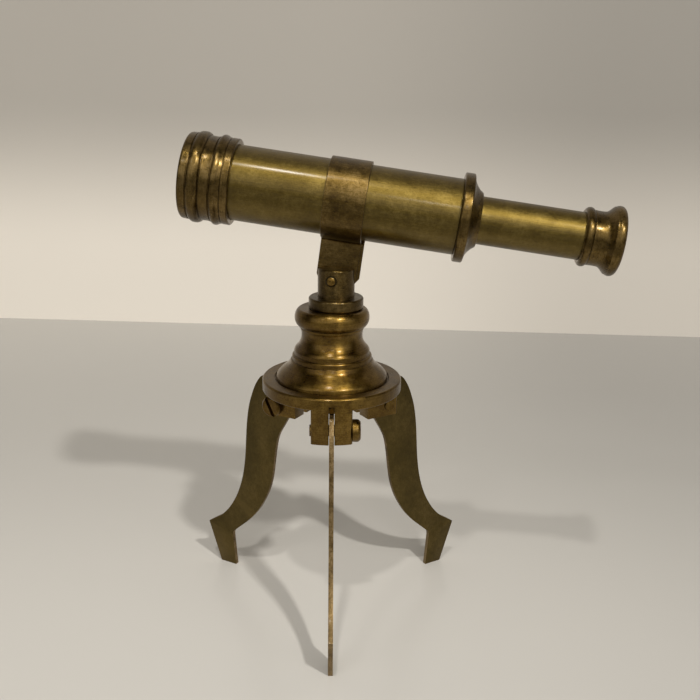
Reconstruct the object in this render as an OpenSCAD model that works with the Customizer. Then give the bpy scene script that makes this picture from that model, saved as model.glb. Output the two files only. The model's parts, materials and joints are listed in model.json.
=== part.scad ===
// Small spyglass telescope on a folding three-leg stand. Units are millimetres, +Z is up.
// Z = 0 is the table. The front leg points to -Y and the eyepiece end points to +X.

/* [Main tube] */
// Outside diameter of the main tube
tube_od = 19.05; // [18.6:0.05:19.3]
// Wall of the main tube
tube_wall = 0.8; // [0.6:0.05:1]
// Main tube length ahead of the clamp centre, to the front of the cell
tube_front = 41.3; // [40:0.1:44]
// Main tube length behind the clamp centre, to the end ring
tube_rear = 28.3; // [27:0.1:30]
// Radius of the objective cell's front bead
cell_r = 11.5; // [11.2:0.05:12]
// Radius of the rear end ring's rim
ring_r = 11.2; // [10.8:0.05:11.6]

/* [Draw tube] */
// Outside diameter of the draw tube
draw_od = 12; // [11.6:0.1:12.2]
// Wall of the draw tube
draw_wall = 0.6; // [0.5:0.05:0.7]
// Draw tube length showing between end ring and eyepiece
draw_out = 25.6; // [24:0.1:28]
// Length of draw tube kept inside the main tube
draw_in = 22; // [21:0.5:26]
// Radius of the eyepiece's flared rim
eye_r = 8.8; // [8.5:0.05:9.2]

/* [Clamp and stem] */
// Width of the clamp strap along the tube
strap_w = 10.3; // [9:0.1:11]
// Thickness of the clamp strap
strap_t = 0.8; // [0.6:0.05:0.85]
// How far the strap's rear cheek sits towards the eyepiece
strap_skew = 0.8; // [0:0.1:0.8]
// Distance from pivot rivet to tube axis
arm = 20.4; // [19.5:0.1:23]
// Height of the pivot rivet above the table
rivet_z = 92.7; // [92.6:0.1:94]
// Rivet offset from the stem's axis, towards the objective
rivet_x = 0.8; // [0:0.1:1]
// Radius of the slotted stem
stem_r = 4.8; // [4.6:0.05:5.2]
// Offset of the swivel hole from the column's axis
stem_x = 1; // [0:0.1:1]
// Tilt of the telescope at rest, objective end up
tilt = 7.5; // [0:0.5:20]
// Turn of the telescope at rest, eyepiece end to the front
turn = 6; // [0:1:20]

/* [Head] */
// Radius of the head's flange
flange_r = 18.5; // [18.2:0.1:19]
// Thickness of the flange's rim
flange_t = 3.3; // [3:0.1:3.6]
// Height of the flange's underside above the table
flange_z = 62.5; // [62.4:0.1:63]
// Width of a lug across the leg slot
lug_w = 10.5; // [9.5:0.1:11]
// Height of a lug below the flange
lug_h = 9; // [8.8:0.1:9.4]

/* [Legs] */
// Thickness of a leg plate
leg_t = 1.2; // [1:0.05:1.3]
// Radius from the column's axis to the heel's point
heel_r = 42.5; // [40:0.1:45]
// Radius from the column's axis to a leg screw
hinge_r = 15.2; // [15:0.1:15.3]
// Screw axis below the flange's underside
hinge_drop = 6.2; // [6:0.1:6.4]

/* [Hidden] */
$fn = 96;
eps = 0.01;
// running clearance of a pin or a tube in its hole
run = 0.05;

tube_r = tube_od / 2;
bore_r = tube_r - tube_wall;
draw_r = draw_od / 2;
draw_bore = draw_r - draw_wall;

// stations along the telescope, measured from the clamp's centre, +X to the eyepiece
cell_x0 = -tube_front;
tube_x0 = cell_x0 + 5.6;
ring_x0 = tube_rear;
ring_x1 = ring_x0 + 5.2;
eye_x0 = ring_x1 + draw_out;
eye_l = 9.8;
eye_x1 = eye_x0 + eye_l;
sleeve_x0 = ring_x0 - 7.5;
draw_x0 = ring_x1 - draw_in;
draw_x1 = eye_x0 + 4.4;

// stations up the column
flange_top = flange_z + flange_t;
column_top = flange_z + 22.2;
collar_z = column_top + 0.1;
collar_top = collar_z + 2.9;
stem_top = rivet_z + 2.7;
slot_z = collar_top + 0.15;
slot_w = 2 * strap_t + 0.2;
collar_r = 7.15;
collar_h = collar_top - collar_z;
spigot_r = 3;
tap_r = 1.3;

// rivet: shank, and a domed head cut from a ball
shank_r = 0.9;
rivet_head_r = 1.45;
rivet_ball_r = 1.86;
rivet_sink = 1;

// washer and slotted screw that hold the stem down, under the flange
washer_r = 4.6;
washer_t = 0.8;
washer_gap = 0.1;
under_head_r = 2.7;
under_head_h = 1.68;
under_shank_r = 1.25;
under_shank_l = 8;

hinge_z = flange_z - hinge_drop;
lug_slot = leg_t + 0.3;
lug_in = 8.4;
lug_mid = 12.2;
lug_round = 7.45;
slot_roof = 5.15;
notch_depth = 1.6;
screw_r = 1.5;
screw_head_r = 2.9;
screw_head_h = 2.15;
driver_w = 1;
driver_turn = 117;

// widths of the object, used to put the middle of its footprint at the origin
ux = cos(tilt) * cos(turn);
function tube_at(x) = stem_x + cos(turn) * (x * cos(tilt) + arm * sin(tilt) - rivet_x * (1 - cos(tilt)));
function spread(r) = r * sqrt(1 - ux * ux);
x_high = max(tube_at(eye_x1 - 1.5) + spread(eye_r), tube_at(eye_x1) + spread(eye_r - 0.9));
x_low = min(tube_at(cell_x0) - spread(10.3), tube_at(cell_x0 + 0.8) - spread(cell_r - 0.6));
y_low = -heel_r;
y_high = heel_r * sin(30) + leg_t / 2 * cos(30);
mid_x = (x_high + x_low) / 2;
mid_y = (y_high + y_low) / 2;

// ---- helpers ----
function arc(cx, cy, rx, ry, a0, a1, n) =
    [for (i = [0 : n]) [cx + rx * cos(a0 + (a1 - a0) * i / n), cy + ry * sin(a0 + (a1 - a0) * i / n)]];

function blend(p, q, r, s, t) =
    0.5 * (2 * q + (r - p) * t + (2 * p - 5 * q + 4 * r - s) * t * t + (3 * q - p - 3 * r + s) * t * t * t);

function smooth(p, n) = concat(
    [for (i = [0 : len(p) - 2]) for (k = [0 : n - 1])
        blend(p[max(i - 1, 0)], p[i], p[i + 1], p[min(i + 2, len(p) - 1)], k / n)],
    [p[len(p) - 1]]
);

// turns a profile of [along, radius] points about the telescope's axis
module turned(p) {
    rotate([0, 90, 0])
    rotate_extrude()
    polygon([for (v = p) [v[1], v[0]]]);
}

module place() {
    translate([-mid_x, -mid_y, 0])
    children();
}

module at_stem() {
    place()
    translate([stem_x, 0, 0])
    rotate([0, 0, -turn])
    children();
}

// origin on the rivet, +X along the telescope
module at_rivet() {
    at_stem()
    translate([-rivet_x, 0, rivet_z])
    rotate([0, tilt, 0])
    children();
}

// origin on the telescope's axis at the clamp's centre
module at_tube() {
    at_rivet()
    translate([rivet_x, 0, arm])
    children();
}

// +X points outwards along leg number k
module at_leg(k) {
    place()
    rotate([0, 0, 120 * k - 90])
    children();
}

// ---- head ----
module lug() {
    intersection() {
        translate([0, 0, flange_z - lug_h])
        cylinder(r = flange_r, h = lug_h + 1);
        translate([lug_in, -lug_w / 2, flange_z - lug_h])
        cube([flange_r, lug_w, lug_h + 1]);
        translate([lug_mid, 0, flange_z - lug_h])
        cylinder(r = lug_round, h = lug_h + 1);
    }
}

module lug_cuts() {
    translate([lug_in - 0.4, -lug_slot / 2, flange_z - lug_h - 1])
    cube([flange_r, lug_slot, lug_h + 1 - hinge_drop + slot_roof]);
    translate([flange_r - notch_depth, -lug_slot / 2, flange_z - 2])
    cube([notch_depth + 1, lug_slot, 3.2]);
    translate([hinge_r, 0, hinge_z])
    rotate([90, 0, 0])
    cylinder(r = screw_r + run, h = lug_w + 4, center = true);
}

column_profile = concat(
    [[0, 0], [flange_r - 0.3, 0], [flange_r, 0.3], [flange_r, flange_t - 0.35]],
    [[flange_r - 0.35, flange_t], [15.3, flange_t], [15.15, flange_t - 0.4], [14.85, flange_t - 0.4]],
    smooth([[14.75, 3.75], [14.55, 4.3], [13.7, 5.25], [12.5, 6.25], [11.5, 7.2], [10.85, 8.35]], 4),
    [[10.55, 8.4], [10.55, 9.5], [10.3, 9.8], [9.98, 9.85]],
    smooth(concat(
        [[9.98, 11.05], [9.65, 11.65], [9.15, 12.2], [8.6, 13]],
        [[8.15, 14.1], [8.03, 15.2], [8.15, 16.2], [8.45, 17]]
    ), 4),
    [[8.45, 17.45]],
    arc(8.33, 19.85, 1.5, 2.35, -72, 72, 14),
    [[8.6, 22.2], [0, 22.2]]
);

module head() {
    color("#8a6a2f")
    place() {
        difference() {
            union() {
                translate([0, 0, flange_z])
                rotate_extrude()
                polygon(column_profile);
                for (k = [0 : 2])
                    rotate([0, 0, 120 * k - 90])
                    lug();
            }
            for (k = [0 : 2])
                rotate([0, 0, 120 * k - 90])
                lug_cuts();
            translate([stem_x, 0, flange_z - 1])
            cylinder(r = spigot_r + run, h = 24);
        }
    }
}

// ---- stem ----
module stem() {
    color("#7a5a34")
    at_stem()
    difference() {
        union() {
            translate([0, 0, flange_z + 0.3])
            cylinder(r = spigot_r, h = collar_z - flange_z);
            translate([0, 0, collar_z])
            rotate_extrude()
            polygon([
                [0, 0], [collar_r - 0.25, 0], [collar_r, 0.25],
                [collar_r, collar_h - 0.3], [collar_r - 0.3, collar_h], [0, collar_h]
            ]);
            translate([0, 0, collar_top - eps])
            cylinder(r = stem_r, h = stem_top - collar_top - 0.3);
            translate([0, 0, stem_top - 0.3 - 2 * eps])
            cylinder(r1 = stem_r, r2 = stem_r - 0.3, h = 0.3);
        }
        translate([-stem_r - 1, -slot_w / 2, slot_z])
        cube([2 * stem_r + 2, slot_w, 20]);
        translate([-rivet_x, 0, rivet_z])
        rotate([90, 0, 0])
        cylinder(r = shank_r + 0.02, h = 14, center = true, $fn = 48);
        translate([0, 0, flange_z - 1])
        cylinder(r = tap_r, h = under_shank_l + 1, $fn = 48);
    }
}

module stem_washer() {
    color("#a08a50")
    at_stem()
    translate([0, 0, flange_z - washer_gap - washer_t])
    difference() {
        cylinder(r = washer_r, h = washer_t);
        translate([0, 0, -1])
        cylinder(r = under_shank_r + 0.35, h = washer_t + 2, $fn = 48);
    }
}

module stem_screw() {
    color("#8d7440")
    at_stem()
    difference() {
        union() {
            translate([0, 0, flange_z - 2.6])
            cylinder(r = under_head_r, h = under_head_h);
            translate([0, 0, flange_z - 1])
            cylinder(r = under_shank_r, h = under_shank_l, $fn = 48);
        }
        translate([-4, -0.35, flange_z - 3])
        cube([8, 0.7, 1.2]);
    }
}

module rivet_head() {
    intersection() {
        translate([0, 0, -rivet_sink])
        sphere(r = rivet_ball_r, $fn = 64);
        cylinder(r = rivet_head_r, h = rivet_ball_r, $fn = 64);
    }
}

module pivot_rivet() {
    color("#9a7b45")
    at_stem()
    translate([-rivet_x, 0, rivet_z])
    rotate([90, 0, 0]) {
        cylinder(r = shank_r, h = 2 * stem_r + 0.1, center = true, $fn = 48);
        translate([0, 0, stem_r + eps])
        rivet_head();
        rotate([180, 0, 0])
        translate([0, 0, stem_r + eps])
        rivet_head();
    }
}

// ---- clamp ----
strap_r = tube_r + 0.02;
neck_r = 1.3;
neck_y = strap_t + 0.025 + neck_r;
neck_z = sqrt(pow(strap_r + strap_t + neck_r, 2) - neck_y * neck_y);

// end view of the strap: Y across, Z up, origin on the tube's axis
module strap_outline() {
    difference() {
        union() {
            circle(r = strap_r + strap_t);
            translate([-strap_t - 0.025, -arm - 3])
            square([2 * strap_t + 0.05, arm]);
            polygon([[-neck_y, -neck_z], [neck_y, -neck_z], [0, -strap_r]]);
        }
        circle(r = strap_r);
        translate([-neck_y, -neck_z])
        circle(r = neck_r, $fn = 64);
        translate([neck_y, -neck_z])
        circle(r = neck_r, $fn = 64);
        translate([-0.025, -arm - 4])
        square([0.05, arm]);
    }
}

// side view of one cheek, with the skew it has below the tube's middle
module cheek_outline(skew) {
    polygon([
        [-strap_w / 2, 20], [-strap_w / 2, 0], [skew - strap_w / 2, -tube_r], [skew - strap_w / 2, 0.6 - arm],
        [skew - 3.4, -2.3 - arm], [skew - 2.5, -2.9 - arm],
        [skew + 2.2, -2.9 - arm], [skew + 3.1, -2.3 - arm],
        [skew + strap_w / 2, 0.6 - arm], [skew + strap_w / 2, -tube_r], [strap_w / 2, 0], [strap_w / 2, 20]
    ]);
}

module clamp_strap() {
    color("#8c6a3e")
    difference() {
        intersection() {
            at_tube()
            rotate([90, 0, 90])
            linear_extrude(height = strap_w + 4, center = true)
            strap_outline();
            at_tube()
            union() {
                rotate([90, 0, 0])
                linear_extrude(height = 20)
                cheek_outline(0);
                rotate([90, 0, 0])
                translate([0, 0, -20])
                linear_extrude(height = 20)
                cheek_outline(strap_skew);
            }
        }
        at_rivet()
        rotate([90, 0, 0])
        cylinder(r = shank_r + run, h = 6, center = true, $fn = 48);
    }
}

// ---- telescope body ----
module main_tube() {
    color("#9c7c35")
    at_tube()
    turned([[tube_x0, bore_r], [ring_x0 - eps, bore_r], [ring_x0 - eps, tube_r], [tube_x0, tube_r]]);
}

cell_profile = concat(
    [[0.5, 8.2], [0, 8.7], [0, 10]],
    arc(0.75, 10.15, 0.75, 0.75, 180, 90, 5),
    [[2.1, 10.98], [2.15, 10.78], [2.3, 10.78]],
    smooth(concat(
        [[2.4, 10.95], [2.7, 11.25], [3.2, cell_r - 0.04], [3.8, cell_r]],
        [[4.4, cell_r - 0.04], [4.95, 11.2]]
    ), 3),
    [[5.25, 10.85], [5.3, 10.55], [5.45, 10.55]],
    smooth([[5.55, 10.72], [6.2, 10.66], [7.1, 10.66], [7.8, 10.78]], 3),
    [[7.9, 10.55], [8.05, 10.55]],
    smooth(concat(
        [[8.15, 10.85], [8.45, 11.22], [8.95, cell_r - 0.12], [9.5, 11.25]],
        [[10, 10.98], [10.65, 10.8]]
    ), 3),
    [[10.7, 10.58], [10.85, 10.58], [10.9, 10.9], [12.5, 10.9], [12.7, 10.65]],
    [[12.7, tube_r + 0.02], [5.55, tube_r + 0.02], [5.55, 8.95], [2.6, 8.95], [2.6, 8.2]]
);

module objective_cell() {
    color("#8f6238")
    at_tube()
    turned([for (p = cell_profile) [cell_x0 + p[0], p[1]]]);
}

module objective_lens() {
    color("#bcd2d0")
    at_tube()
    turned(concat(
        [[cell_x0 + 4.2, 0], [cell_x0 + 2.1, 0]],
        [for (i = [1 : 8]) [cell_x0 + 2.1 + 0.6 * pow(i / 8, 2), 8.1 * i / 8]],
        [[cell_x0 + 2.7, 8.85], [cell_x0 + 4.2, 8.85]]
    ));
}

module objective_retainer() {
    color("#5b4a2a")
    at_tube()
    turned([
        [cell_x0 + 4.25, 7.9], [cell_x0 + 5.5, 7.9], [cell_x0 + 5.5, 8.9], [cell_x0 + 4.25, 8.9]
    ]);
}

ring_profile = concat(
    [[0, ring_r - 0.5]],
    arc(0.5, ring_r - 0.5, 0.5, 0.5, 180, 90, 4),
    arc(2.1, ring_r - 0.5, 0.5, 0.5, 90, 10, 4),
    smooth([[2.7, 10], [3.1, 9.05], [3.65, 8.2], [4.3, 7.45], [5, 6.95]], 3),
    [[5.2, 6.75], [5.2, draw_r + run]],
    [[sleeve_x0 - ring_x0, draw_r + run], [sleeve_x0 - ring_x0, bore_r - 0.02], [0, bore_r - 0.02]]
);

module end_ring() {
    color("#8f6238")
    at_tube()
    turned([for (p = ring_profile) [ring_x0 + p[0], p[1]]]);
}

// ---- draw tube ----
module draw_tube() {
    color("#9c7c35")
    at_tube()
    turned([[draw_x0, draw_bore], [draw_x1, draw_bore], [draw_x1, draw_r], [draw_x0, draw_r]]);
}

module draw_stop() {
    color("#7d6230")
    at_tube()
    turned([
        [draw_x0 - 1.4, 4.4], [draw_x0 - 0.4, 4.4],
        [draw_x0, draw_bore - 0.5], [draw_x0 + 2.4, draw_bore - 0.5],
        [draw_x0 + 2.4, draw_bore - 0.02], [draw_x0 - eps, draw_bore - 0.02],
        [draw_x0 - eps, bore_r - 0.06], [draw_x0 - 1.4, bore_r - 0.06]
    ]);
}

eye_profile = concat(
    [[0, draw_r + 0.02], [0, 6.7]],
    arc(1.15, 6.6, 1.05, 0.85, 170, 15, 8),
    smooth([[2.4, 6.92], [3.2, 6.86], [4.3, 6.84], [5.2, 6.92], [5.8, 7.2], [6.5, 7.85], [7.1, 8.45]], 3),
    arc(8.3, eye_r - 1.2, 1.3, 1.2, 130, 0, 9),
    [[9.6, 7.2], [9.3, 6.4], [8.4, 5.4], [7.6, 4], [6.2, 4], [6.2, 5.2], [4.5, 5.2], [4.5, draw_r + 0.02]]
);

module eyepiece() {
    color("#8f6238")
    at_tube()
    turned([for (p = eye_profile) [eye_x0 + p[0], p[1]]]);
}

module eye_lens() {
    color("#bcd2d0")
    at_tube()
    turned(concat(
        [[eye_x0 + 6.15, 0], [eye_x0 + 6.15, 5.1], [eye_x0 + 4.5, 5.1]],
        [for (i = [8 : -1 : 0]) [eye_x0 + 4.5 + 0.8 * (1 - pow(i / 8, 2)), 4.6 * i / 8]]
    ));
}

module eye_retainer() {
    color("#5b4a2a")
    at_tube()
    turned([
        [eye_x0 + 3.1, 4.3], [eye_x0 + 4.45, 4.3],
        [eye_x0 + 4.45, draw_bore - 0.02], [eye_x0 + 3.1, draw_bore - 0.02]
    ]);
}

// ---- legs ----
function by_pivot(x, z) = [hinge_r + x, hinge_z + z];
function by_span(u, v) = [hinge_r + u * (heel_r - hinge_r), v * hinge_z];

leg_outer = smooth([
    by_pivot(0, 5), by_pivot(3.2, 5), by_pivot(4.8, 5.5), by_pivot(6.1, 6), by_pivot(7.5, 5.6),
    by_pivot(9.3, 2.9), by_span(0.392, 0.99), by_span(0.43, 0.924), by_span(0.458, 0.835),
    by_span(0.473, 0.746), by_span(0.487, 0.657), by_span(0.513, 0.568), by_span(0.554, 0.488),
    by_span(0.619, 0.408), by_span(0.711, 0.334), by_span(0.813, 0.279), by_span(0.9, 0.25),
    by_span(1, 0.217)
], 4);

leg_inner = smooth([
    by_span(0.68, 0.172), by_span(0.672, 0.192), by_span(0.63, 0.213), by_span(0.484, 0.277),
    by_span(0.37, 0.338), by_span(0.282, 0.402), by_span(0.209, 0.473), by_span(0.158, 0.551),
    by_span(0.128, 0.64), by_span(0.103, 0.728), by_span(0.066, 0.803), by_span(-0.022, 0.881),
    by_pivot(-2.9, -2.9), by_pivot(-4.1, -1.3), by_pivot(-4.4, 0.8), by_pivot(-3.8, 2.8),
    by_pivot(-2.3, 4.3), by_pivot(-0.8, 4.9)
], 4);

module leg(k) {
    color("#6e5d2e")
    at_leg(k)
    difference() {
        rotate([90, 0, 0])
        linear_extrude(height = leg_t, center = true)
        polygon(concat(leg_outer, [by_span(0.843, 0), by_span(0.648, 0)], leg_inner));
        translate([hinge_r, 0, hinge_z])
        rotate([90, 0, 0])
        cylinder(r = screw_r + run, h = 4, center = true, $fn = 48);
    }
}

module leg_screw(k) {
    color("#84693a")
    at_leg(k)
    translate([hinge_r, 0, hinge_z])
    rotate([-90, 0, 0])
    difference() {
        union() {
            translate([0, 0, -lug_w / 2 - 0.4])
            cylinder(r = screw_r, h = lug_w + 0.5);
            translate([0, 0, lug_w / 2])
            rotate_extrude()
            polygon([
                [0, 0], [screw_head_r, 0], [screw_head_r, screw_head_h - 0.65],
                [screw_head_r - 0.6, screw_head_h], [0, screw_head_h]
            ]);
        }
        rotate([0, 0, driver_turn])
        translate([-screw_head_r - 1, -driver_w / 2, lug_w / 2 + screw_head_h / 2])
        cube([2 * screw_head_r + 2, driver_w, screw_head_h]);
    }
}

head();
stem();
stem_washer();
stem_screw();
pivot_rivet();
clamp_strap();
main_tube();
objective_cell();
objective_lens();
objective_retainer();
end_ring();
draw_tube();
draw_stop();
eyepiece();
eye_lens();
eye_retainer();
leg(0);  // leg_front
leg(1);  // leg_right
leg(2);  // leg_left
leg_screw(0);  // leg_screw_front
leg_screw(1);  // leg_screw_right
leg_screw(2);  // leg_screw_left
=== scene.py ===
"""Small brass spyglass on a folding three-leg stand: its pieces, their finishes and a plain table."""

import json
import math

import bmesh
import bpy
from mathutils import Matrix, Vector

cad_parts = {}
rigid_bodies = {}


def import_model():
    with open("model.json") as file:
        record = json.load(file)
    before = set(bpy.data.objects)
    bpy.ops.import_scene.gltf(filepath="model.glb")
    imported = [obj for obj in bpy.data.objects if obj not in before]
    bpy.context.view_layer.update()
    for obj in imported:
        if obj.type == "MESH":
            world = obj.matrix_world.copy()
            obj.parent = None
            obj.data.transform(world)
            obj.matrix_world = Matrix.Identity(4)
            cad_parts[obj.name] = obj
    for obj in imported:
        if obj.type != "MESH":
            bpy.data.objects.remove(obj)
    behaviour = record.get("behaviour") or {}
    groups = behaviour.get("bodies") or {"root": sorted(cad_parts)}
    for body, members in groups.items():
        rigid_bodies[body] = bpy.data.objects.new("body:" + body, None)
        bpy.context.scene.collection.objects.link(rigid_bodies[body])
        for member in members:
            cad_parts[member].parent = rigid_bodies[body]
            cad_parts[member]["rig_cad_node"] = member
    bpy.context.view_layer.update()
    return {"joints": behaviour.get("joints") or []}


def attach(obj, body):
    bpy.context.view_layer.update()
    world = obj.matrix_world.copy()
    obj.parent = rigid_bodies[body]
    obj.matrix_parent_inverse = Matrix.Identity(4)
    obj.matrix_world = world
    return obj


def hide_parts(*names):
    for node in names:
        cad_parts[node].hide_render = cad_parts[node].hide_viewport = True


bl_info = {
    "name": "Brass Spyglass",
    "version": (1, 0, 0),
    "blender": (4, 5, 0),
    "location": "View3D > Sidebar > Spyglass",
    "description": "Builds a brass spyglass on its folding stand, piece by piece",
    "category": "Object",
}

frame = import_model()
JOINTS = {joint["name"]: joint for joint in frame["joints"]}
LEGS = ("front", "right", "left")
MM = 0.001
TAU = 2 * math.pi


# ---- where the pieces sit ----
def basis(x_axis, y_axis, origin):
    """Millimetres along those axes from that origin, as a matrix in metres."""
    x_axis, y_axis = x_axis.normalized(), y_axis.normalized()
    turn = Matrix((x_axis, y_axis, x_axis.cross(y_axis))).transposed().to_4x4()
    return Matrix.Translation(origin) @ turn @ Matrix.Scale(MM, 4)


TUBE_AXIS = Vector(JOINTS["draw_slide"]["axis"])
RIVET_AXIS = Vector(JOINTS["tube_tilt"]["axis"])
RIVET = Vector(JOINTS["tube_tilt"]["pos_m"])
STEM = Vector(JOINTS["stem_swivel"]["pos_m"])
HINGES = [Vector(JOINTS[f"leg_{leg}_fold"]["pos_m"]) for leg in LEGS]
COLUMN = sum(HINGES, Vector()) / len(HINGES)

RIVET_OFFSET = 0.8
ARM = 20.4
AT_RIVET = basis(TUBE_AXIS, RIVET_AXIS, RIVET)
AT_TUBE = AT_RIVET @ Matrix.Translation((RIVET_OFFSET, 0, ARM))
AT_COLUMN = basis(Vector((1, 0, 0)), Vector((0, 1, 0)), Vector((COLUMN.x, COLUMN.y, 0)))
AT_STEM = basis(Vector((RIVET_AXIS.y, -RIVET_AXIS.x, 0)), RIVET_AXIS, Vector((STEM.x, STEM.y, 0)))
UPRIGHT = Matrix.Rotation(-math.pi / 2, 4, "Y")
LATHE = AT_COLUMN @ UPRIGHT


def at_leg(index):
    """X outwards along that leg and Z up, from the column's foot."""
    fold_axis = Vector(JOINTS[f"leg_{LEGS[index]}_fold"]["axis"])
    outwards = fold_axis.cross(Vector((0, 0, 1)))
    return basis(outwards, fold_axis, Vector((COLUMN.x, COLUMN.y, 0)))


# ---- sizes, in millimetres ----
TUBE_R, TUBE_WALL = 9.525, 0.8
BORE_R = TUBE_R - TUBE_WALL
DRAW_R, DRAW_WALL = 6.0, 0.6
DRAW_BORE = DRAW_R - DRAW_WALL
CELL_R, RING_R, EYE_R = 11.5, 11.2, 8.8
CELL_X, TUBE_X, RING_X = -41.3, -35.7, 28.3
EYE_X, SLEEVE_X, DRAW_X, DRAW_END = 59.1, 20.8, 11.5, 63.5
STRAP_T, STRAP_W, STRAP_R = 0.8, 10.3, TUBE_R + 0.02
# how far the rear cheek sits towards the eyepiece, and the bend's radius where the cheeks meet the tube
STRAP_SKEW, NECK_R = 0.8, 1.3
FLANGE_R, FLANGE_T, FLANGE_Z = 18.5, 3.3, 62.5
COLUMN_H = 22.2
LUG_W, LUG_H, LUG_SLOT = 10.5, 9.0, 1.5
LEG_T, HEEL_R, HINGE_R, HINGE_Z = 1.2, 42.5, 15.2, 56.3
STEM_R, COLLAR_Z, COLLAR_TOP, SLOT_Z, STEM_TOP = 4.8, 84.8, 87.7, 87.85, 95.4
RIVET_Z, RIVET_HEAD_R, RIVET_BALL_R, RIVET_SINK = 92.7, 1.45, 1.86, 1.0
# radius on the rivet's head beyond which it takes a darker finish, as painted shade round its dome
RIVET_SHADE_RIM = 1.05
SCREW_R, SCREW_HEAD_R, SCREW_HEAD_H = 1.5, 2.9, 2.15
DRIVER_TURN, DRIVER_HALF = 117, 0.5
SLOT_ROOF, NOTCH_DEPTH = 5.15, 1.6


# ---- lines and profiles ----
def arc(cx, cy, rx, ry, start, end, steps):
    angles = [math.radians(start + (end - start) * i / steps) for i in range(steps + 1)]
    return [(cx + rx * math.cos(a), cy + ry * math.sin(a)) for a in angles]


def smooth(points, steps):
    """A curve through the points, with that many steps from each one to the next."""
    made = []
    for i in range(len(points) - 1):
        p, q, r, s = (Vector(points[min(max(i + k, 0), len(points) - 1)]) for k in (-1, 0, 1, 2))
        for k in range(steps):
            t = k / steps
            bend = (2 * p - 5 * q + 4 * r - s) * t * t + (3 * q - p - 3 * r + s) * t**3
            made.append(tuple(0.5 * (2 * q + (r - p) * t + bend)))
    return made + [tuple(points[-1])]


def eased(points, radius, closed=False, sharp=24):
    """The profile with its corners rounded, and a point close to each one so that flats stay flat."""
    count = len(points)
    made = []
    for i, point in enumerate(points):
        here = Vector(point)
        if not closed and i in (0, count - 1):
            made.append(tuple(here))
            continue
        back, on = Vector(points[i - 1]) - here, Vector(points[(i + 1) % count]) - here
        if min(back.length, on.length) < 1e-6 or math.degrees((-back).angle(on)) < sharp:
            made.append(tuple(here))
            continue
        cut = min(radius, 0.4 * back.length, 0.4 * on.length)
        start, end = here + back.normalized() * cut, here + on.normalized() * cut
        if back.length > 5 * cut:
            made.append(tuple(here + back.normalized() * cut * 1.6))
        made += [tuple(start.lerp(here, t).lerp(here.lerp(end, t), t)) for t in (0, 0.33, 0.67, 1)]
        if on.length > 5 * cut:
            made.append(tuple(here + on.normalized() * cut * 1.6))
    return made + made[:1] if closed else made


# ---- node trees ----
class Bench:
    """Lays out nodes in a tree: a socket given as a value is linked, anything else is set."""

    def __init__(self, tree):
        self.tree = tree
        self.count = 0

    def add(self, kind, *values, out=0, **named):
        node = self.tree.nodes.new(kind)
        node.location = (220 * (self.count % 8), -260 * (self.count // 8))
        self.count += 1
        for key, value in named.items():
            if hasattr(node, key):
                setattr(node, key, value)
            else:
                self.plug(node.inputs[key.replace("_", " ")], value)
        for i, value in enumerate(values):
            if value is not None:
                self.plug(node.inputs[i], value)
        return node.outputs[out] if out is not None else node

    def plug(self, socket, value):
        if isinstance(value, bpy.types.NodeSocket):
            self.tree.links.new(value, socket)
        else:
            socket.default_value = value

    def math(self, operation, *values):
        return self.add("ShaderNodeMath", *values, operation=operation)

    def vector_math(self, operation, *values):
        return self.add("ShaderNodeVectorMath", *values, operation=operation)

    def blend(self, share, first, second):
        """Two colours mixed by a share from 0 to 1."""
        return self.add("ShaderNodeMix", share, *[None] * 5, first, second, data_type="RGBA", out=2)

    def fade(self, value, *limits):
        """The value carried smoothly from one range to another."""
        return self.add("ShaderNodeMapRange", value, *limits, interpolation_type="SMOOTHSTEP")


def new_geometry_tree(name, inputs):
    """An empty geometry tree with those named inputs, and their identifiers."""
    tree = bpy.data.node_groups.new(name, "GeometryNodeTree")
    tree.is_modifier = True
    keys = {}
    for label, kind in inputs:
        keys[label] = tree.interface.new_socket(label, in_out="INPUT", socket_type=kind).identifier
    tree.interface.new_socket("Geometry", in_out="OUTPUT", socket_type="NodeSocketGeometry")
    return tree, keys


def close_tree(bench, geometry, material):
    """Ends a geometry tree: instances made real, and the finish set."""
    real = bench.add("GeometryNodeRealizeInstances", geometry)
    done = bench.add("GeometryNodeSetMaterial", real, None, material)
    bench.add("NodeGroupOutput", done, out=None)


def turning_tree():
    """Turns a profile of (along, radius) points about the X axis."""
    tree, keys = new_geometry_tree(
        "turned_on_the_lathe",
        [
            ("Profile", "NodeSocketGeometry"),
            ("Facets", "NodeSocketInt"),
            ("Weld", "NodeSocketFloat"),
            ("Finish", "NodeSocketMaterial"),
        ],
    )
    bench = Bench(tree)
    given = bench.add("NodeGroupInput", out=None).outputs
    count = bench.add("GeometryNodeAttributeDomainSize", given["Profile"], component="MESH")
    rows = bench.math("ADD", given["Facets"], 1.0)
    grid = bench.add("GeometryNodeMeshGrid", 1.0, 1.0, count, rows, out=None)
    index = bench.add("GeometryNodeInputIndex")
    station = bench.math("FLOOR", bench.math("DIVIDE", index, rows))
    step = bench.math("SUBTRACT", index, bench.math("MULTIPLY", station, rows))
    angle = bench.math("MULTIPLY", bench.math("DIVIDE", step, given["Facets"]), TAU)
    place = bench.add("GeometryNodeInputPosition")
    sample = bench.add(
        "GeometryNodeSampleIndex", given["Profile"], place, station, data_type="FLOAT_VECTOR"
    )
    parts = bench.add("ShaderNodeSeparateXYZ", sample, out=None).outputs
    across = bench.math("MULTIPLY", parts[1], bench.math("COSINE", angle))
    above = bench.math("MULTIPLY", parts[1], bench.math("SINE", angle))
    turned = bench.add("ShaderNodeCombineXYZ", parts[0], across, above)
    moved = bench.add("GeometryNodeSetPosition", grid.outputs["Mesh"], None, turned)
    welded = bench.add("GeometryNodeMergeByDistance", moved, Distance=given["Weld"])
    close_tree(bench, welded, given["Finish"])
    return tree, keys


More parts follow.
